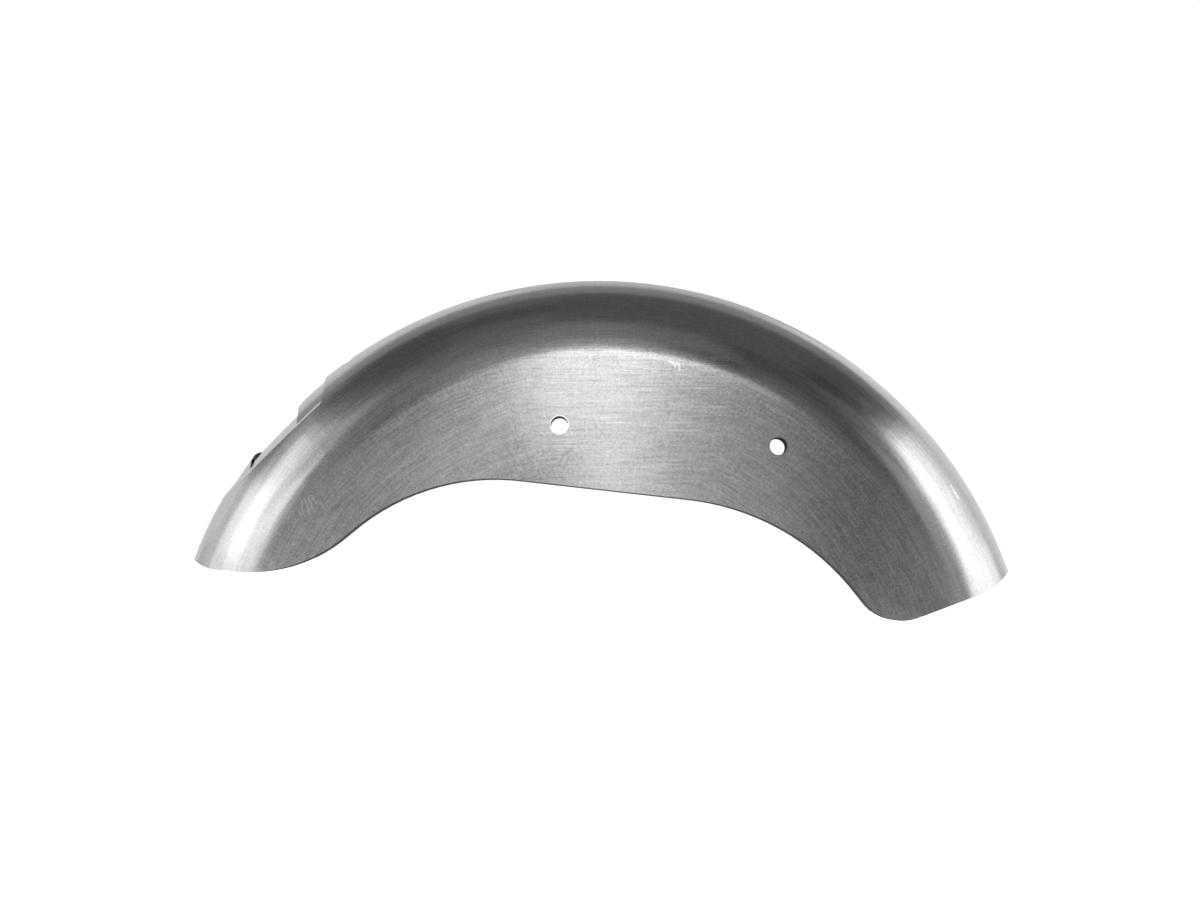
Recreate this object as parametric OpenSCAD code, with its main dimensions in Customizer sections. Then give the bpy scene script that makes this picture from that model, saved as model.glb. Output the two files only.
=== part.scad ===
// Rear fender of a motorcycle, one pressed sheet steel shell with a rubber plug in its wiring hole.
// Millimetres, +Z up, +X to the rear of the motorcycle, -Y its left side.
// Side profiles are drawn about the centre of the crown circle, then moved so that Z 0 is the lowest edge.

/* [Shell] */
// Radius of the crown line seen from the side
crown_r = 395; // [385:1:410]
// Width over the two skirts
shell_w = 160; // [150:1:172]
// Radius of the crown across the fender
crown_arc_r = 140; // [130:1:155]
// Radius of the shoulder between crown and skirt
shoulder_r = 68; // [62:0.5:74]
// Thickness of the sheet
sheet = 1.6; // [1.2:0.1:2.2]

/* [Lower edge] */
// Height of the level front edge over the centre of the crown circle
front_edge_z = 97.5; // [90:0.5:104]
// Distance of the lowest point of the front lobe behind the front of the crown circle
lobe_in = 53; // [45:1:61]
// Radius of the front lobe
lobe_r = 135; // [125:1:145]
// Radius of the front arch
front_arch_r = 200.5; // [190:0.5:210]
// Height of the front arch over the centre
front_arch_z = 205; // [198:0.5:212]
// Distance of the rear arch behind the centre, as a share of the crown radius
rear_arch_share = 0.15; // [0.13:0.005:0.175]
// Radius of the rear arch
rear_arch_r = 225.9; // [216:0.1:236]
// Height of the rear arch over the centre
rear_arch_z = 202.7; // [196:0.1:209]
// Length of the straight piece between an arch and the lobe beside it
flank_l = 11; // [6:1:16]

/* [Ends] */
// Radius that lifts the front edge towards the crown
nose_r = 38; // [30:1:46]
// Distance behind the front of the crown circle where that lift starts
nose_in = 37; // [33:0.5:41]
// Angle of the straight rear end over the horizontal
tail_angle = 26.3; // [22:0.1:30]
// Drop of the line of the rear end under the centre
tail_drop = 20.2; // [14:0.2:26]
// Radius of the lower rear corner
tail_corner_r = 41.3; // [34:0.1:48]
// Radius that lifts the rear end towards the crown
tail_r = 62; // [52:1:72]
// Distance from the crown circle, along the rear end, where that lift starts
tail_lift_in = 34; // [29:1:41]

/* [Seat recess] */
// Depth of the shallow recess ahead of the seat
recess_depth = 2.6; // [2:0.1:3.4]
// Distance of its rear wall behind the front of the crown circle
recess_back_in = 118; // [114:0.5:122]
// Distance of the wall where the deeper channel starts, likewise
channel_back_in = 96.5; // [92:0.5:101]
// Distance of the wall where the deeper channel ends, likewise
channel_front_in = 58.2; // [56:0.2:60]
// Half width of the recess
recess_half_w = 62; // [61:0.5:66]
// Radius of the rear corners of the recess
recess_corner_r = 14; // [10:1:20]
// Angle ahead of the top where the floor of the channel runs out into the crown
knee_angle = 65.5; // [65:0.1:66]
// Depth of that floor under the crown line at the rear wall of the channel
channel_depth = 8.8; // [8:0.1:9.6]
// Radius of the floor seen from the side
floor_r = 800; // [700:20:1000]
// Radius of the floor across the fender
floor_arc_r = 207; // [190:1:240]
// Chamfer on the step into the channel
step_chamfer = 2; // [1:0.2:3]

/* [Holes] */
// Diameter of the strut holes in both skirts
strut_hole_d = 15.88; // [14:0.02:18]
// Spacing of the strut holes
strut_spacing = 199.2; // [180:0.2:220]
// Distance of the front strut hole ahead of the centre
strut_x = 60.9; // [50:0.1:70]
// Height of the strut holes over the centre
strut_z = 258.1; // [248:0.1:268]
// Distance of the seat slot behind the rear wall of the recess
slot_gap = 18.6; // [13:0.2:24]
// Width of the seat slot along the fender
slot_w = 9.6; // [7:0.1:12]
// Length of the seat slot across the fender
slot_l = 36; // [24:1:46]
// Diameter of the seat screw hole
screw_hole_d = 6.6; // [5:0.1:9]
// Angle of the seat screw hole ahead of the top
screw_angle = 3.3; // [1:0.1:6]

/* [Plug] */
// Radius of the ball shape of the plug head
plug_ball_r = 9; // [8.6:0.1:9.2]
// Height of the head over the channel floor
plug_head_h = 3.3; // [2.8:0.1:3.6]
// Diameter of the wiring hole that the plug closes
plug_hole_d = 10; // [8:0.2:11]
// Distance of the plug behind the front of the crown circle
plug_in = 62.6; // [62.2:0.1:63.4]
// Radius of the flange under the sheet
plug_flange_r = 6.6; // [6:0.1:7.5]
// Thickness of that flange
plug_flange_t = 2; // [1.5:0.1:3]
// Play of the plug in its hole and against the sheet
plug_play = 0.12; // [0.1:0.01:0.2]

/* [Hidden] */
$fn = 96;
WIDE = shell_w + 40;
// Arcs and straight pieces that follow one another overlap by this much, so that each crosses the next
BLEND = 0.05;

// Section across the fender
half_w = shell_w / 2;
shoulder_y = half_w - shoulder_r;
crown_c = crown_r - crown_arc_r;
shoulder_d = crown_arc_r - shoulder_r + BLEND;
shoulder_c = crown_c + sqrt(pow(shoulder_d, 2) - pow(shoulder_y, 2));
shoulder_a = asin(shoulder_y / shoulder_d);
skirt_in = 150;

// Places along X, ahead of the centre of the crown circle
lobe_x = crown_r - lobe_in;
nose_x = crown_r - nose_in;
recess_back_x = crown_r - recess_back_in;
channel_back_x = crown_r - channel_back_in;
channel_front_x = crown_r - channel_front_in;
plug_x = crown_r - plug_in;
slot_angle = asin((recess_back_x - slot_gap) / crown_r);

// Centres of the arcs of the lower edge
lobe_c = [-lobe_x, front_edge_z + lobe_r];
front_arch_cz = front_arch_z - front_arch_r;
front_arch_c = [
  lobe_c.x + sqrt(pow(lobe_r + front_arch_r, 2) + pow(flank_l, 2) - pow(lobe_c.y - front_arch_cz, 2)),
  front_arch_cz
];
rear_arch_c = [rear_arch_share * crown_r, rear_arch_z - rear_arch_r];

// Straight rear end: tail_d runs along it, tail_n points into the sheet
tail_d = [cos(tail_angle), sin(tail_angle)];
tail_n = [-sin(tail_angle), cos(tail_angle)];
corner_n = tail_corner_r - tail_drop;
corner_b = rear_arch_c * tail_d;
corner_q = pow(rear_arch_r + tail_corner_r, 2) + pow(flank_l, 2);
corner_s = corner_b + sqrt(corner_q - pow(rear_arch_c * tail_n - corner_n, 2));
tail_corner_c = tail_d * corner_s + tail_n * corner_n;
tail_c = tail_d * (crown_r - tail_lift_in) + tail_n * (tail_r - tail_drop);
nose_c = [-nose_x, front_edge_z + nose_r];

// Touching points of the straight pieces
function polar(r, a) = [r * cos(a), r * sin(a)];
function dir(v) = atan2(v.y, v.x);
// Direction of the touching point on circle a, of the line that crosses over to circle b
function cross_a(a, ra, b, rb, side) = dir(b - a) + side * acos((ra + rb - 2 * BLEND) / norm(b - a));
// Direction of the touching points of the line along two circles on the same side
function along_a(a, ra, b, rb) = dir(b - a) + acos((ra - rb) / norm(b - a));
lobe_a = cross_a(lobe_c, lobe_r, front_arch_c, front_arch_r, -1);
ridge_a = along_a(front_arch_c, front_arch_r, rear_arch_c, rear_arch_r);
tail_a = cross_a(tail_corner_c, tail_corner_r, rear_arch_c, rear_arch_r, 1);

// Lower crossing of a circle with the crown circle; side 1 for the front, -1 for the rear
function crown_along(c, r) = (pow(crown_r, 2) - pow(r, 2) + c * c) / (2 * norm(c));
function crown_meet(c, r, side) =
  c / norm(c) * crown_along(c, r)
  + [-c.y, c.x] / norm(c) * side * sqrt(pow(crown_r, 2) - pow(crown_along(c, r), 2));
nose_tip = crown_meet(nose_c, nose_r, 1);
tail_tip = crown_meet(tail_c, tail_r, -1);
frame_x = -(nose_tip.x + tail_tip.x) / 2;
frame_z = -front_edge_z;

// Floor of the channel: an arc through the knee and the foot of the rear wall
knee_p = polar(crown_r, 90 + knee_angle);
foot_r = crown_r - channel_depth;
foot_p = [-channel_back_x, sqrt(pow(foot_r, 2) - pow(channel_back_x, 2))];
floor_h = norm(foot_p - knee_p) / 2;
floor_u = (foot_p - knee_p) / norm(foot_p - knee_p);
floor_c = (knee_p + foot_p) / 2 + [floor_u.y, -floor_u.x] * sqrt(pow(floor_r, 2) - pow(floor_h, 2));

// Step at the rear wall of the channel, on the level of the shallow recess
level_r = crown_r - recess_depth;
step_z = sqrt(pow(level_r, 2) - pow(channel_back_x, 2));

// Plug: its foot on the channel floor and the direction of its axis
plug_z = floor_c.y + sqrt(pow(floor_r, 2) - pow(plug_x + floor_c.x, 2));
plug_a = atan2(plug_z - floor_c.y, -plug_x - floor_c.x);
plug_ball_c = plug_head_h - plug_ball_r;
plug_head_r = sqrt(pow(plug_ball_r, 2) - pow(plug_ball_c, 2));

// Filled section of the shell, x is the radius and y the width; inset moves its surface inwards
module section(inset) {
  crown_j = (crown_arc_r - inset) * [cos(shoulder_a), sin(shoulder_a)] + [crown_c, 0];
  polygon([
    [skirt_in, -half_w + inset],
    [shoulder_c, -half_w + inset],
    [crown_j.x, -crown_j.y],
    crown_j,
    [shoulder_c, half_w - inset],
    [skirt_in, half_w - inset]
  ]);
  for (s = [-1, 1]) translate([shoulder_c, s * shoulder_y]) circle(r = shoulder_r - inset);
  intersection() {
    translate([crown_c, 0]) circle(r = crown_arc_r - inset);
    polygon([
      [crown_c, 0],
      [crown_r + 20, -(crown_arc_r + 20) * tan(shoulder_a)],
      [crown_r + 20, (crown_arc_r + 20) * tan(shoulder_a)]
    ]);
  }
}

// Filled volume under the crown and between the skirts
module crown_body(inset) {
  rotate([90, 0, 0]) rotate_extrude(start = 5, angle = 170) section(inset);
}

// A side profile pushed through the whole width
module through(w) {
  rotate([90, 0, 0]) translate([0, 0, -w / 2]) linear_extrude(w) children();
}

// Side view of the sheet that is kept
module side_outline() {
  difference() {
    union() {
      polygon([
        [-crown_r - 120, front_edge_z + BLEND],
        [-lobe_x, front_edge_z + BLEND],
        lobe_c + polar(lobe_r - BLEND, lobe_a),
        front_arch_c - polar(front_arch_r - BLEND, lobe_a),
        front_arch_c + polar(front_arch_r - BLEND, ridge_a),
        rear_arch_c + polar(rear_arch_r - BLEND, ridge_a),
        rear_arch_c - polar(rear_arch_r - BLEND, tail_a),
        tail_corner_c + polar(tail_corner_r - BLEND, tail_a),
        tail_corner_c - tail_n * (tail_corner_r - BLEND),
        tail_d * (crown_r + 60) - tail_n * (tail_drop - BLEND),
        [crown_r + 120, crown_r + 60],
        [-crown_r - 120, crown_r + 60]
      ]);
      translate(lobe_c) circle(r = lobe_r);
      translate(tail_corner_c) circle(r = tail_corner_r);
    }
    translate(front_arch_c) circle(r = front_arch_r);
    translate(rear_arch_c) circle(r = rear_arch_r);
    difference() {
      translate(nose_c - [crown_r, nose_r + 10]) square([crown_r, nose_r + 10]);
      translate(nose_c) circle(r = nose_r);
    }
    translate(tail_c) rotate(tail_angle) difference() {
      translate([0, -tail_r - 10]) square([crown_r, tail_r + 10]);
      circle(r = tail_r);
    }
  }
}

// Filled volume under the floor of the channel
module floor_body(inset) {
  translate([floor_c.x, 0, floor_c.y]) rotate([90, 0, 0]) rotate_extrude(start = 90, angle = 90)
    intersection() {
      translate([floor_r - floor_arc_r, 0]) circle(r = floor_arc_r - inset);
      translate([floor_r - crown_r, -half_w]) square([crown_r + 10, shell_w]);
    }
}

// Plan of the recess, rounded at its rear corners
module recess_plan(grow) {
  half = recess_half_w + grow;
  corner = recess_corner_r + grow;
  difference() {
    translate([-crown_r - 40, -half]) square([crown_r + 40 - recess_back_x + grow, 2 * half]);
    for (s = [0, 1]) mirror([0, s]) translate([-recess_back_x + grow - corner, half - corner])
      difference() {
        square(corner + 1);
        circle(r = corner);
      }
  }
}

// Shallow recess behind and ahead of the channel
module recess_pads(inset) {
  intersection() {
    crown_body(recess_depth + inset);
    union() {
      through(2 * recess_half_w + 20) polygon([
        [-channel_back_x + inset, 0.6 * step_z],
        [-recess_back_x + recess_corner_r, 0.6 * step_z],
        [-recess_back_x + recess_corner_r, crown_r],
        [-channel_back_x + inset + step_chamfer, crown_r],
        [-channel_back_x + inset + step_chamfer, step_z + 0.4 * step_chamfer],
        [-channel_back_x + inset, step_z - step_chamfer]
      ]);
      difference() {
        through(2 * recess_half_w + 20) polygon([
          [-crown_r - 20, 0.7 * knee_p.y],
          [-channel_front_x - inset, 0.7 * knee_p.y],
          [-channel_front_x - inset, crown_r],
          [-crown_r - 20, crown_r]
        ]);
        if (inset == 0) at_plug() translate([0, 0, plug_ball_c]) sphere(r = plug_ball_r + 3 * plug_play);
      }
    }
  }
}

// What the press takes off the crown for the recess
module recess(inset) {
  difference() {
    translate([0, 0, 0.85 * knee_p.y]) linear_extrude(crown_r) recess_plan(inset);
    floor_body(inset);
    recess_pads(inset);
  }
}

// Pressed volume; the shell lies between inset 0 and inset sheet
module pressed(inset) {
  difference() {
    crown_body(inset);
    recess(inset);
  }
}

// Frame on the plug foot, Z out of the channel floor
module at_plug() {
  translate([-plug_x, 0, plug_z]) rotate([0, 90 - plug_a, 0]) children();
}

// Frame on the crown line at an angle ahead of the top, X along the fender
module at_crown(a) {
  rotate([0, -a, 0]) translate([0, 0, crown_r]) children();
}

// Placed so that the overall box is centred in X and Y and stands on Z 0
module placed() {
  translate([frame_x, 0, frame_z]) children();
}

module strut_holes() {
  for (x = [-strut_x, strut_spacing - strut_x])
    translate([x, 0, strut_z]) rotate([90, 0, 0]) cylinder(h = WIDE, d = strut_hole_d, center = true);
}

module seat_slot() {
  at_crown(slot_angle) {
    for (s = [-1, 1]) translate([0, s * (slot_l - slot_w) / 2, -15]) cylinder(h = 30, d = slot_w);
    translate([-slot_w / 2, -(slot_l - slot_w) / 2, -15]) cube([slot_w, slot_l - slot_w, 30]);
  }
}

module screw_hole() {
  at_crown(screw_angle) translate([0, 0, -15]) cylinder(h = 30, d = screw_hole_d);
}

module fender() {
  color([0.62, 0.62, 0.61]) placed() difference() {
    intersection() {
      pressed(0);
      through(WIDE) side_outline();
    }
    pressed(sheet);
    strut_holes();
    seat_slot();
    screw_hole();
    at_plug() translate([0, 0, -sheet - 6]) cylinder(h = sheet + 12, d = plug_hole_d);
  }
}

// Domed head, neck through the sheet and flange under it
module wiring_plug() {
  neck_l = sheet + 2 * plug_play;
  color([0.06, 0.06, 0.065]) placed() at_plug() {
    intersection() {
      translate([0, 0, plug_ball_c]) sphere(r = plug_ball_r);
      translate([-plug_ball_r, -plug_ball_r, plug_play]) cube([2 * plug_ball_r, 2 * plug_ball_r, plug_ball_r]);
    }
    translate([0, 0, -neck_l - plug_play]) cylinder(h = neck_l + 3 * plug_play, d = plug_hole_d - 2 * plug_play);
    translate([0, 0, -neck_l - plug_play - plug_flange_t])
      cylinder(h = plug_flange_t, r1 = plug_flange_r - 0.8, r2 = plug_flange_r);
  }
}

fender();
wiring_plug();
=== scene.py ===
"""Bare steel motorcycle rear fender with its wiring plug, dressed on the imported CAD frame"""
import math

import bmesh
import bpy
from bpy.props import FloatProperty, FloatVectorProperty, PointerProperty
from mathutils import Matrix, Vector

bl_info = {
    "name": "Steel rear fender",
    "version": (1, 0, 0),
    "blender": (4, 5, 0),
    "location": "View3D > Sidebar > Rear Fender",
    "description": "Bare steel motorcycle rear fender with its rubber wiring plug",
    "category": "Object",
}

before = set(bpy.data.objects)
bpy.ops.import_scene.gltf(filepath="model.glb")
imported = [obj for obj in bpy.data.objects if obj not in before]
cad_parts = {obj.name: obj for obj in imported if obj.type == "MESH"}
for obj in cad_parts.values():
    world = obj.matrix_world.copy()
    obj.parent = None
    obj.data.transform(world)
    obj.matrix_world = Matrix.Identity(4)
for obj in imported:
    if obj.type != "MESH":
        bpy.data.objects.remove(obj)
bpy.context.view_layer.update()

# Centre of the circle of the crown line, about which the sheet was drawn and sanded
CROWN_CENTRE = Vector((0.01114, 0.0, -0.0975))
# Middle of the side of the fender, where angles about that centre turn into lengths
SIDE_RADIUS = 0.37
# The fender stands turned by this much against the level of the picture
PICTURE_TILT = math.radians(5.54)


# ---------------------------------------------------------------- sizes and colours to change


class FenderSettings(bpy.types.PropertyGroup):
    """Bare steel of the shell"""

    steel: FloatVectorProperty(
        name="Steel", description="Colour of the bare sanded steel",
        subtype="COLOR", size=3, min=0, max=1, default=(0.60, 0.60, 0.595),
    )
    gloss_low: FloatProperty(
        name="Smoothest", description="Roughness of the steel where the sanding is finest",
        min=0.05, max=1, default=0.16, subtype="FACTOR",
    )
    gloss_high: FloatProperty(
        name="Roughest", description="Roughness of the steel where the sanding is coarsest",
        min=0.05, max=1, default=0.30, subtype="FACTOR",
    )
    texture: FloatProperty(
        name="Sanding contrast",
        description="How far the sanding strokes stand out in light and dark",
        min=0, max=3, default=0.76,
    )
    scratch_depth: FloatProperty(
        name="Scratch depth", description="Height of the sanding scratches",
        min=0, max=0.001, default=0.00006, precision=6, unit="LENGTH",
    )


class PlugSettings(bpy.types.PropertyGroup):
    """Rubber plug in the channel"""

    rubber: FloatVectorProperty(
        name="Rubber", description="Colour of the black rubber",
        subtype="COLOR", size=3, min=0, max=1, default=(0.012, 0.012, 0.013),
    )


class StageSettings(bpy.types.PropertyGroup):
    """Floor, lights and camera"""

    camera_distance: FloatProperty(
        name="Camera distance", description="From the middle of the fender to the camera",
        min=1, max=30, default=11.0, unit="LENGTH",
    )
    field: FloatProperty(
        name="Field width", description="Width that the picture takes in at the fender",
        min=0.2, max=5, default=1.0935, unit="LENGTH",
    )
    elevation: FloatProperty(
        name="Camera elevation", description="Height of the camera over the fender, as an angle",
        min=-0.5, max=1.5, default=math.radians(-0.6), subtype="ANGLE",
    )
    roll: FloatProperty(
        name="Camera roll", description="Turn of the picture about the line of sight",
        min=-1, max=1, default=PICTURE_TILT, subtype="ANGLE",
    )


# ---------------------------------------------------------------- shader sums


class Sum:
    """A socket of a node tree that adds Math nodes when Python does sums with it"""

    def __init__(self, tree, socket):
        self.tree, self.socket = tree, socket

    def maths(self, operation, *values, clamp=False):
        """Adds a Math node on this socket and the other values"""
        node = self.tree.nodes.new("ShaderNodeMath")
        node.operation, node.use_clamp = operation, clamp
        for entry, value in zip(node.inputs, (self, *values)):
            if isinstance(value, Sum):
                self.tree.links.new(value.socket, entry)
            else:
                entry.default_value = value
        return Sum(self.tree, node.outputs[0])

    def turned(self, operation, first):
        """Adds a Math node that takes this socket second, after a number"""
        node = self.tree.nodes.new("ShaderNodeMath")
        node.operation = operation
        node.inputs[0].default_value = first
        self.tree.links.new(self.socket, node.inputs[1])
        return Sum(self.tree, node.outputs[0])

    def __add__(self, other):
        return self.maths("ADD", other)

    __radd__ = __add__

    def __sub__(self, other):
        return self.maths("SUBTRACT", other)

    def __rsub__(self, other):
        return self.turned("SUBTRACT", other)

    def __mul__(self, other):
        return self.maths("MULTIPLY", other)

    __rmul__ = __mul__

    def __abs__(self):
        return self.maths("ABSOLUTE")

    def __pow__(self, other):
        return self.maths("POWER", other)

    def most(self, other):
        """The larger of the two"""
        return self.maths("MAXIMUM", other)

    def clamped(self):
        """Kept between 0 and 1"""
        return self.maths("ADD", 0.0, clamp=True)

    def between(self, low, high, to_low=0.0, to_high=1.0):
        """Smooth step from to_low to to_high as the value goes from low to high"""
        node = self.tree.nodes.new("ShaderNodeMapRange")
        node.interpolation_type = "SMOOTHSTEP"
        ends = {"From Min": low, "From Max": high, "To Min": to_low, "To Max": to_high}
        for name, value in ends.items():
            node.inputs[name].default_value = value
        self.tree.links.new(self.socket, node.inputs["Value"])
        return Sum(self.tree, node.outputs["Result"])


# A Mix node has like-named sockets for each kind of data; these are the ones of a colour
MIX_MASK, MIX_FIRST, MIX_SECOND, MIX_COLOUR = 0, 6, 7, 2


def shaded(colour, factor):
    """A colour made lighter or darker, with its alpha"""
    return [min(1.0, channel * factor) for channel in colour] + [1.0]


class Finish:
    """A material under construction"""

    def __init__(self, name):
        self.material = bpy.data.materials.new(name)
        self.material.use_nodes = True
        self.tree = self.material.node_tree
        self.tree.nodes.clear()
        self.place = self.add("ShaderNodeTexCoord", out="Object")

    def add(self, kind, settings=None, values=None, out=None):
        """Adds a node, sets it up, and gives back its named output, or the node"""
        node = self.tree.nodes.new(kind)
        for name, value in (settings or {}).items():
            setattr(node, name, value)
        for name, value in (values or {}).items():
            entry = node.inputs[name]
            if isinstance(value, Sum):
                self.tree.links.new(value.socket, entry)
            elif hasattr(value, "is_output"):
                self.tree.links.new(value, entry)
            else:
                entry.default_value = value
        if out is None:
            return node
        return node.outputs[out]

    def xyz(self):
        """Place on the piece, as three sums"""
        node = self.add("ShaderNodeSeparateXYZ", values={"Vector": self.place})
        return [Sum(self.tree, node.outputs[axis]) for axis in "XYZ"]

    def noise(self, vector, scale=1.0, detail=2.0, rough=0.6):
        """Clouded noise about 0.5"""
        return Sum(self.tree, self.add(
            "ShaderNodeTexNoise", {"noise_dimensions": "3D"},
            {"Vector": vector, "Scale": scale, "Detail": detail, "Roughness": rough}, "Fac",
        ))

    def vector(self, x, y, z):
        return self.add("ShaderNodeCombineXYZ", values={"X": x, "Y": y, "Z": z}, out="Vector")

    def blend(self, first, second, mask):
        """The first colour where the mask is 0, the second where it is 1"""
        return self.add(
            "ShaderNodeMix", {"data_type": "RGBA", "blend_type": "MIX"},
            {MIX_MASK: mask, MIX_FIRST: first, MIX_SECOND: second}, MIX_COLOUR,
        )

    def bump(self, height, distance, strength):
        values = {"Height": height, "Distance": distance, "Strength": strength}
        return self.add("ShaderNodeBump", values=values, out="Normal")

    def stroke(self, x, z, start, end, width):
        """1 along a short mark drawn on the side of the fender, fading to 0 at its edges"""
        dx, dz = end[0] - start[0], end[1] - start[1]
        square = dx * dx + dz * dz
        px, pz = x - start[0], z - start[1]
        share = (px * (dx / square) + pz * (dz / square)).clamped()
        ex, ez = px - share * dx, pz - share * dz
        away = (ex * ex + ez * ez) ** 0.5
        return away.between(width, width * 0.25)

    def close(self, **values):
        """Sets the named sockets of the shader and gives back the finished material"""
        shader = self.add(
            "ShaderNodeBsdfPrincipled",
            values={name.replace("_", " "): value for name, value in values.items()}, out="BSDF",
        )
        self.add("ShaderNodeOutputMaterial", values={"Surface": shader})
        return self.material


# ---------------------------------------------------------------- finishes


# Bright marks on the left side, each from (x, z) to (x, z) with its half width and strength
MARKS = (
    # ding under the shoulder
    ((0.0435, 0.2271), (0.0475, 0.2263), 0.0014, 1.0),
    ((0.0475, 0.2263), (0.0497, 0.2232), 0.0015, 1.0),
    ((0.0506, 0.2264), (0.0527, 0.2253), 0.0014, 1.0),
    ((0.0527, 0.2253), (0.0539, 0.2202), 0.0014, 0.9),
    # scratch on the rear shoulder, pale streak on the rear lobe, faint line on the flank
    ((0.3090, 0.1406), (0.3122, 0.1355), 0.0012, 0.6),
    ((0.3122, 0.1355), (0.3169, 0.1296), 0.0013, 0.8),
    ((0.2749, 0.0851), (0.3158, 0.0374), 0.0034, 0.17),
    ((0.2238, 0.1818), (0.2469, 0.1677), 0.0009, 0.22),
    # strokes of a file on the front lobe
    ((-0.2772, 0.0624), (-0.2752, 0.0556), 0.0008, 0.35),
    ((-0.2752, 0.0685), (-0.2725, 0.0577), 0.0009, 0.5),
    ((-0.2720, 0.0711), (-0.2666, 0.0576), 0.0009, 0.6),
    ((-0.2693, 0.0726), (-0.2622, 0.0604), 0.0009, 0.65),
    ((-0.2665, 0.0753), (-0.2613, 0.0682), 0.0009, 0.55),
    ((-0.2584, 0.0702), (-0.2531, 0.0636), 0.0009, 0.5),
    ((-0.2523, 0.0677), (-0.2492, 0.0647), 0.0008, 0.35),
)
# Dark smudges near the front strut hole, in the same way
SMUDGES = (
    ((-0.0363, 0.1403), (-0.0438, 0.1332), 0.0018, 0.3),
    ((-0.0438, 0.1332), (-0.0465, 0.1238), 0.0018, 0.3),
    ((-0.0391, 0.1318), (-0.0418, 0.1216), 0.0016, 0.26),
    ((-0.0945, 0.1696), (-0.0889, 0.1678), 0.0014, 0.35),
)
# Strut holes in the left flank: place, how far out the painted ring at the edge reaches, how
# much and how light; a painted highlight round the front hole, painted shade round the rear one
PAINTED_RIM_LIGHT = (
    ((-0.0498, 0.1606), 0.0092, 0.95, 0.97),
    ((0.1494, 0.1606), 0.0094, 0.35, 0.18),
)
PAINTED_RIM_EDGE = 0.0007
MARK_WHITE = (0.97, 0.97, 0.97, 1.0)
# Left side only: the marks fade in between these depths
LEFT_FROM, LEFT_FULL = -0.02, -0.03
# The strokes fade as the sheet turns over from the shoulder to the crown
FLANK_RADIUS, SHOULDER_RADIUS = 0.318, 0.352
CROWN_CONTRAST = 0.58
# Angles either side of the top between which the level strokes give way to those along the arc
LEVEL_WITHIN, ARC_BEYOND = 0.24, 0.42
INSIDE_ROUGHNESS = 0.48


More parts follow.
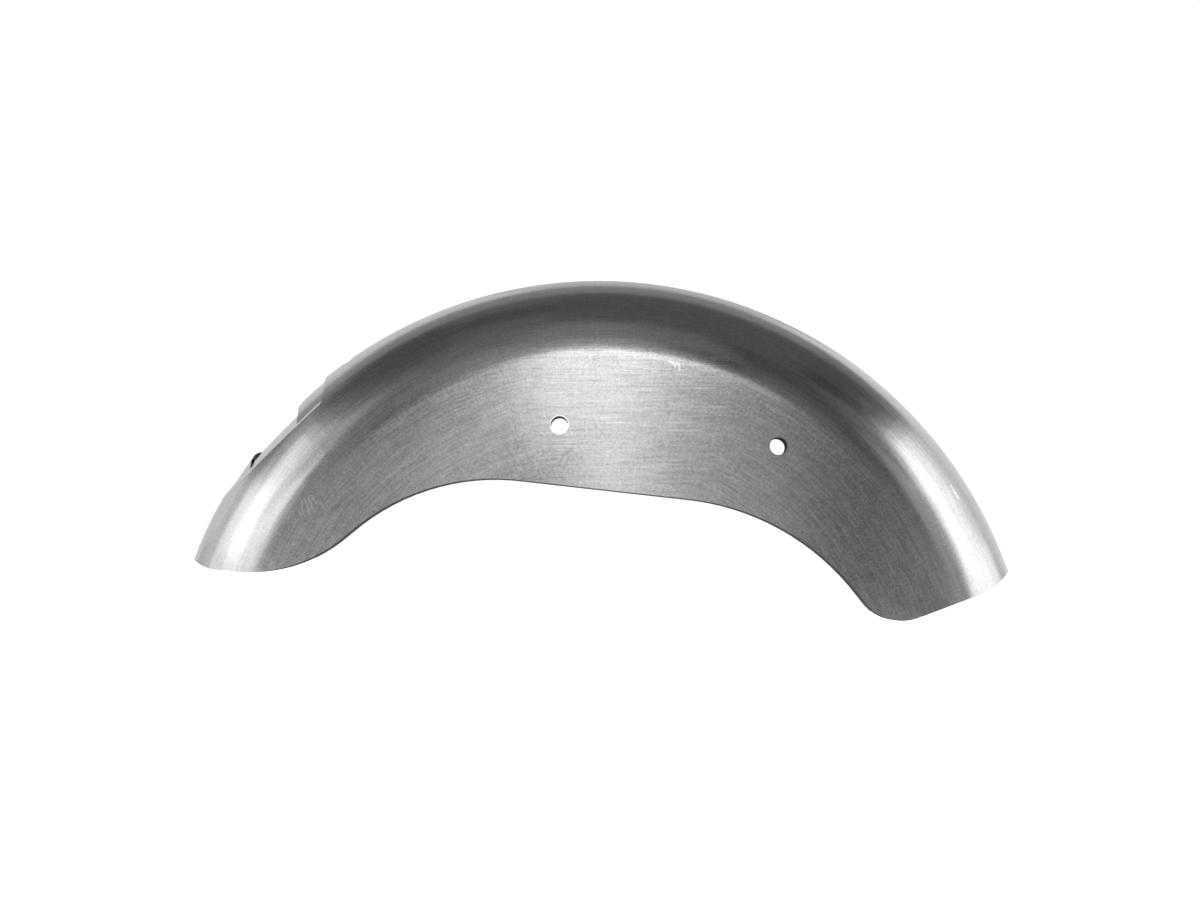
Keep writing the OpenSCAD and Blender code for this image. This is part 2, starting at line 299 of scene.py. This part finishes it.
def sanded_steel(settings):
    """Bare sheet steel, sanded along the arc and across it, with a few marks, painted highlight
    and shade round the strut holes, and dull inside with painted shade
    """
    f = Finish("sanded_steel")
    x, y, z = f.xyz()
    dx, dz = x - CROWN_CENTRE.x, z - CROWN_CENTRE.z
    radius = (dx * dx + dz * dz) ** 0.5
    angle = dx.maths("ARCTAN2", dz)
    along = angle * SIDE_RADIUS
    cos, sin = math.cos(PICTURE_TILT), math.sin(PICTURE_TILT)
    level_x, level_z = x * cos + z * sin, z * cos - x * sin

    # long scratches follow the arc, and run level over the middle of the flank
    def scratches(lengthways, crossways, stretch, density, detail, rough):
        place = f.vector(lengthways * stretch, crossways * density, y * density)
        return f.noise(place, detail=detail, rough=rough)

    middle = abs(angle).between(ARC_BEYOND, LEVEL_WITHIN)
    arc_fine = scratches(along, radius, 30.0, 680.0, 3.0, 0.65)
    arc_long = scratches(along, radius, 9.0, 420.0, 2.0, 0.6)
    level_fine = scratches(level_x, level_z, 30.0, 680.0, 3.0, 0.65)
    level_long = scratches(level_x, level_z, 9.0, 420.0, 2.0, 0.6)
    fine = arc_fine + (level_fine - arc_fine) * middle
    long = arc_long + (level_long - arc_long) * middle
    wide = scratches(along, radius, 6.0, 150.0, 2.0, 0.55)
    # short strokes of the sander in more directions, broken up into a mottled grain
    mottle = f.noise(f.place, 620.0, 3.0, 0.75)
    rising, falling = x + z, x - z
    slant = f.noise(f.vector(rising * 520.0, falling * 120.0, y * 300.0))
    counter = f.noise(f.vector(rising * 120.0, falling * 520.0, y * 300.0))
    hatch = f.noise(f.vector(along * 520.0, radius * 60.0, y * 60.0))
    patch = f.noise(f.place, 90.0, 3.0)
    cloud = f.noise(f.place, 24.0, 3.0, 0.55)
    # each kind of stroke lightens and darkens the steel by its share
    shares = (
        (mottle, 1.9), (fine, 1.5), (long, 0.45), (slant, 0.25), (counter, 0.25),
        (hatch, 0.6), (wide, 0.25), (patch, 0.3), (cloud, 0.25),
    )
    tone = sum((stroke - 0.5) * share for stroke, share in shares) * settings.texture
    tone = tone * radius.between(SHOULDER_RADIUS, FLANK_RADIUS, CROWN_CONTRAST, 1.0)
    steel = settings.steel
    colour = f.blend(shaded(steel, 0.62), shaded(steel, 1.34), (tone + 0.5).clamped())
    # faint darker smears where hands and oil have been
    smear = f.noise(f.vector(x, y, z * 1.6), 17.0, 3.0, 0.55).between(0.56, 0.72) * 0.12
    colour = f.blend(colour, shaded(steel, 0.5), smear)
    left = y.between(LEFT_FROM, LEFT_FULL)
    for rows, shade in ((SMUDGES, shaded(steel, 0.42)), (MARKS, MARK_WHITE)):
        marks = None
        for start, end, width, strength in rows:
            stroke = f.stroke(x, z, start, end, width) * strength
            marks = stroke if marks is None else marks.most(stroke)
        colour = f.blend(colour, shade, marks * left)
    # painted highlight round the front strut hole and painted shade round the rear one
    for (hole_x, hole_z), reach, strength, shade in PAINTED_RIM_LIGHT:
        away_x, away_z = x - hole_x, z - hole_z
        away = (away_x * away_x + away_z * away_z) ** 0.5
        painted_rim = away.between(reach, reach - PAINTED_RIM_EDGE) * left * strength
        colour = f.blend(colour, (shade, shade, shade, 1.0), painted_rim)
    gloss_range = settings.gloss_high - settings.gloss_low
    rough = (tone * 0.4 + 0.5).clamped() * gloss_range + settings.gloss_low
    # the inside was never sanded: it keeps the dull skin of the rolled sheet, and its colour is
    # darkened partly for that skin and partly as painted shade inside the fender
    facing = f.add(
        "ShaderNodeVectorMath", {"operation": "DOT_PRODUCT"},
        {0: f.add("ShaderNodeNewGeometry", out="Normal"), 1: f.vector(dx, y * 4.0, dz)}, "Value",
    )
    inside = Sum(f.tree, facing).between(-0.01, -0.05)
    # painted shade: the darker inside colour stands partly for the shade inside the fender
    scale = f.blend(shaded(steel, 0.434), shaded(steel, 0.62), patch)
    colour = f.blend(colour, scale, inside)
    rough = rough + (INSIDE_ROUGHNESS - rough) * inside
    height = fine * 0.6 + hatch * 0.2 + slant * 0.2 + counter * 0.2 + mottle * 0.4
    normal = f.bump(height, settings.scratch_depth, 0.5)
    return f.close(Base_Color=colour, Metallic=1.0, Roughness=rough, Normal=normal)


GRAIN_DEPTH = 0.0001


def black_rubber(settings):
    """Matt moulded rubber with a fine grain"""
    f = Finish("black_rubber")
    grain = f.noise(f.place, 1400.0, 3.0)
    dust = f.noise(f.place, 160.0, 3.0).between(0.5, 0.75)
    dusty = [channel * 2.6 + 0.01 for channel in settings.rubber] + [1.0]
    colour = f.blend(shaded(settings.rubber, 1.0), dusty, dust * 0.5)
    normal = f.bump(grain, GRAIN_DEPTH, 0.5)
    return f.close(Base_Color=colour, Roughness=grain * 0.2 + 0.45, Normal=normal)


def paint(thing, material):
    """Puts one finish on every face of a CAD node"""
    thing.data.materials.clear()
    thing.data.materials.append(material)


# ---------------------------------------------------------------- operators


class FENDER_OT_shell(bpy.types.Operator):
    """Gives the pressed shell its sanded steel"""

    bl_idname = "fender.shell"
    bl_label = "Sanded Steel Shell"

    def execute(self, context):
        paint(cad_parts["fender"], sanded_steel(context.scene.fender_shell))
        return {"FINISHED"}


class FENDER_OT_plug(bpy.types.Operator):
    """Gives the wiring plug its black rubber"""

    bl_idname = "fender.plug"
    bl_label = "Wiring Plug"

    def execute(self, context):
        paint(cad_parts["wiring_plug"], black_rubber(context.scene.fender_plug))
        return {"FINISHED"}


FLOOR_SIZE = 30.0
FLOOR_GLOW = 0.8
ROOM_LIGHT = 1.05
# Point of the fender at the middle of the picture
AIM = Vector((-0.0109, 0.0, 0.1419))

# How a panel lies: flat, upright along x, or upright across the ends of the fender
FLAT = Matrix.Identity(4)
UPRIGHT = Matrix(((1, 0, 0), (0, 0, 1), (0, 1, 0))).to_4x4()
ENDWAYS = Matrix(((0, 0, 1), (1, 0, 0), (0, 1, 0))).to_4x4()
# Six sides of a box round the fender: how its panels lie and how far out they stand
WALLS = {
    "front": (UPRIGHT, -0.55),
    "back": (UPRIGHT, 0.70),
    "left": (ENDWAYS, -0.90),
    "right": (ENDWAYS, 0.90),
    "top": (FLAT, 0.90),
    "floor": (FLAT, -0.002),
}
# The panels of each side: where a panel starts and ends along the side, where it starts and ends
# up it (or in depth, where it lies flat), and its level. Dark ones stand in the way of the room.
PANELS = {
    "front": (
        (-0.90, -0.48, 0.00, 0.15, 1.22), (-0.90, -0.48, 0.15, 0.28, 1.52),
        (-0.90, -0.68, 0.28, 0.50, 1.00), (-0.90, -0.74, 0.50, 0.62, 1.00),
        (-0.90, -0.50, 0.62, 0.90, 0.12), (-0.74, -0.50, 0.50, 0.62, 0.16),
        (-0.68, -0.48, 0.28, 0.50, 0.50), (-0.50, -0.20, 0.50, 0.90, 0.17),
        (-0.48, -0.18, 0.00, 0.15, 0.35), (-0.48, -0.30, 0.15, 0.28, 0.23),
        (-0.48, -0.30, 0.28, 0.50, 0.16), (-0.30, -0.18, 0.15, 0.28, 0.13),
        (-0.30, -0.09, 0.28, 0.50, 0.28), (-0.20, 0.00, 0.50, 0.90, 0.25),
        (-0.18, -0.09, 0.00, 0.15, 0.64), (-0.18, -0.09, 0.15, 0.28, 0.47),
        (-0.09, -0.03, 0.00, 0.15, 0.09), (-0.09, -0.03, 0.15, 0.26, 1.60),
        (-0.09, -0.03, 0.26, 0.31, 2.40), (-0.09, -0.03, 0.31, 0.37, 0.85),
        (-0.09, 0.03, 0.37, 0.50, 0.35), (-0.03, 0.03, 0.00, 0.15, 1.64),
        (-0.03, 0.03, 0.15, 0.26, 1.45), (-0.03, 0.03, 0.26, 0.31, 2.90),
        (-0.03, 0.03, 0.31, 0.37, 0.75), (0.00, 0.20, 0.50, 0.90, 0.19),
        (0.03, 0.09, 0.00, 0.15, 0.47), (0.03, 0.09, 0.15, 0.26, 0.66),
        (0.03, 0.09, 0.26, 0.31, 2.10), (0.03, 0.09, 0.31, 0.37, 0.38),
        (0.03, 0.09, 0.37, 0.50, 0.16), (0.09, 0.18, 0.00, 0.15, 0.41),
        (0.09, 0.18, 0.15, 0.26, 0.30), (0.09, 0.18, 0.26, 0.31, 0.90),
        (0.09, 0.18, 0.31, 0.37, 0.10), (0.09, 0.18, 0.37, 0.50, 0.06),
        (0.18, 0.30, 0.00, 0.50, 0.14), (0.20, 0.50, 0.50, 0.90, 0.07),
        (0.30, 0.48, 0.00, 0.15, 0.30), (0.30, 0.48, 0.15, 0.28, 0.16),
        (0.30, 0.48, 0.28, 0.50, 0.07), (0.48, 0.90, 0.00, 0.15, 0.45),
        (0.48, 0.90, 0.15, 0.28, 0.36), (0.48, 0.90, 0.28, 0.50, 0.46),
        (0.50, 0.74, 0.50, 0.68, 0.15), (0.50, 0.90, 0.68, 0.90, 0.15),
        (0.74, 0.90, 0.50, 0.68, 1.10),
    ),
    "back": (
        (-0.90, -0.22, 0.00, 0.90, 0.78), (-0.22, 0.30, 0.00, 0.90, 0.62),
        (0.30, 0.90, 0.00, 0.90, 0.86),
    ),
    "left": (
        (-0.55, -0.20, 0.00, 0.20, 1.28), (-0.55, -0.20, 0.20, 0.40, 2.26),
        (-0.55, -0.20, 0.40, 0.64, 1.28), (-0.55, -0.20, 0.64, 0.90, 0.14),
        (-0.20, 0.05, 0.00, 0.20, 1.14), (-0.20, 0.05, 0.20, 0.40, 1.44),
        (-0.20, 0.05, 0.40, 0.70, 0.50), (-0.20, 0.05, 0.70, 0.90, 0.08),
        (0.05, 0.30, 0.00, 0.40, 0.74), (0.05, 0.30, 0.40, 0.90, 0.24),
        (0.30, 0.70, 0.00, 0.20, 0.62), (0.30, 0.70, 0.20, 0.40, 0.86),
        (0.30, 0.70, 0.40, 0.90, 0.39),
    ),
    "right": (
        (-0.55, -0.20, 0.00, 0.20, 0.28), (-0.55, 0.05, 0.20, 0.40, 1.77),
        (-0.55, -0.20, 0.40, 0.90, 2.00), (-0.20, 0.05, 0.00, 0.20, 0.08),
        (-0.20, 0.05, 0.40, 0.90, 1.56), (0.05, 0.70, 0.00, 0.20, 0.02),
        (0.05, 0.30, 0.20, 0.40, 1.46), (0.05, 0.30, 0.40, 0.90, 1.10),
        (0.30, 0.70, 0.20, 0.40, 0.69), (0.30, 0.70, 0.40, 0.90, 0.78),
    ),
    "top": (
        (-0.90, -0.50, -0.55, 0.25, 0.09), (-0.90, 0.50, 0.25, 0.70, 0.30),
        (-0.50, -0.20, -0.55, -0.25, 0.15), (-0.50, -0.20, -0.25, 0.00, 0.09),
        (-0.50, -0.20, 0.00, 0.25, 0.14), (-0.20, 0.50, -0.55, 0.25, 0.11),
        (0.50, 0.90, -0.55, -0.25, 0.02), (0.50, 0.90, -0.25, 0.25, 0.08),
        (0.50, 0.90, 0.25, 0.70, 0.21),
    ),
    "floor": (
        (-0.90, -0.30, -0.55, 0.00, 0.82), (-0.90, 0.90, 0.00, 0.70, 0.45),
        (-0.30, 0.30, -0.55, 0.00, 0.49), (0.30, 0.90, -0.55, 0.00, 0.00),
    ),
}


def stage_panel(name, wall, start, end, low, high, level):
    """A flat panel, lit or dark, that reflects in the steel and is out of the camera's sight"""
    lie, out = WALLS[wall]
    bm = bmesh.new()
    bmesh.ops.create_grid(bm, x_segments=1, y_segments=1, size=0.5)
    bmesh.ops.scale(bm, vec=(end - start, high - low, 1), verts=bm.verts)
    bmesh.ops.translate(bm, vec=((start + end) / 2, (low + high) / 2, out), verts=bm.verts)
    bmesh.ops.transform(bm, matrix=lie, verts=bm.verts)
    finish = Finish(name)
    glow = finish.add("ShaderNodeEmission", values={"Strength": level}, out="Emission")
    finish.add("ShaderNodeOutputMaterial", values={"Surface": glow})
    panel = stage_mesh(name, bm, finish.material)
    # only the steel sees it: the floor keeps the even light of the room
    panel.visible_camera = panel.visible_diffuse = panel.visible_shadow = False


def stage_mesh(name, bm, material):
    """Makes an object of the stage from a bmesh and its material"""
    mesh = bpy.data.meshes.new(name)
    bm.to_mesh(mesh)
    bm.free()
    mesh.materials.append(material)
    thing = bpy.data.objects.new(name, mesh)
    bpy.context.scene.collection.objects.link(thing)
    return thing


def pale_floor():
    """Wide matt floor, bright enough to be white in the picture"""
    bm = bmesh.new()
    bmesh.ops.create_grid(bm, x_segments=1, y_segments=1, size=FLOOR_SIZE)
    white = Finish("pale_floor").close(
        Base_Color=(0.92, 0.92, 0.92, 1.0), Roughness=1.0, Specular_IOR_Level=0.0,
        Emission_Color=(1.0, 1.0, 1.0, 1.0), Emission_Strength=FLOOR_GLOW,
    )
    stage_mesh("floor", bm, white).visible_glossy = False


def room_light():
    """Even white light all round"""
    world = bpy.data.worlds.new("studio")
    world.use_nodes = True
    background = world.node_tree.nodes["Background"]
    background.inputs["Color"].default_value = (1, 1, 1, 1)
    background.inputs["Strength"].default_value = ROOM_LIGHT
    bpy.context.scene.world = world


def side_camera(settings):
    """Long lens, square on the left side, turned as the picture is"""
    camera = bpy.data.cameras.new("camera")
    camera.sensor_width = 36.0
    camera.lens = camera.sensor_width * settings.camera_distance / settings.field
    camera.clip_end = 100.0
    camera.dof.use_dof = False
    holder = bpy.data.objects.new("camera", camera)
    bpy.context.scene.collection.objects.link(holder)
    back = Vector((0, -math.cos(settings.elevation), math.sin(settings.elevation)))
    look = back.to_track_quat("Z", "Y").to_matrix().to_4x4()
    look = look @ Matrix.Rotation(settings.roll, 4, "Z")
    holder.matrix_world = Matrix.Translation(AIM + back * settings.camera_distance) @ look
    bpy.context.scene.camera = holder


class FENDER_OT_stage(bpy.types.Operator):
    """Sets up the pale floor, the soft studio light and the camera"""

    bl_idname = "fender.stage"
    bl_label = "Studio Stage"

    def execute(self, context):
        scene = context.scene
        pale_floor()
        room_light()
        for wall, rows in PANELS.items():
            for number, row in enumerate(rows):
                stage_panel(f"panel_{wall}_{number}", wall, *row)
        side_camera(scene.fender_stage)
        scene.view_settings.view_transform = "Standard"
        scene.view_settings.look = "None"
        return {"FINISHED"}


class FENDER_PT_sidebar(bpy.types.Panel):
    """Lists the pieces of the fender and its stage"""

    bl_idname = "FENDER_PT_sidebar"
    bl_label = "Rear Fender"
    bl_space_type = "VIEW_3D"
    bl_region_type = "UI"
    bl_category = "Rear Fender"

    def draw(self, context):
        for operator, settings in PIECES:
            box = self.layout.box()
            box.operator(operator.bl_idname)
            group = getattr(context.scene, settings)
            for name in group.__annotations__:
                box.prop(group, name)


PIECES = (
    (FENDER_OT_shell, "fender_shell"),
    (FENDER_OT_plug, "fender_plug"),
    (FENDER_OT_stage, "fender_stage"),
)
CLASSES = (
    FenderSettings, PlugSettings, StageSettings,
    FENDER_OT_shell, FENDER_OT_plug, FENDER_OT_stage, FENDER_PT_sidebar,
)


def register():
    for part in CLASSES:
        bpy.utils.register_class(part)
    bpy.types.Scene.fender_shell = PointerProperty(type=FenderSettings)
    bpy.types.Scene.fender_plug = PointerProperty(type=PlugSettings)
    bpy.types.Scene.fender_stage = PointerProperty(type=StageSettings)


def unregister():
    del bpy.types.Scene.fender_stage
    del bpy.types.Scene.fender_plug
    del bpy.types.Scene.fender_shell
    for part in reversed(CLASSES):
        bpy.utils.unregister_class(part)


def main():
    register()
    bpy.ops.fender.stage()
    bpy.ops.fender.shell()
    bpy.ops.fender.plug()
    bpy.context.view_layer.update()


if __name__ == "__main__":
    main()
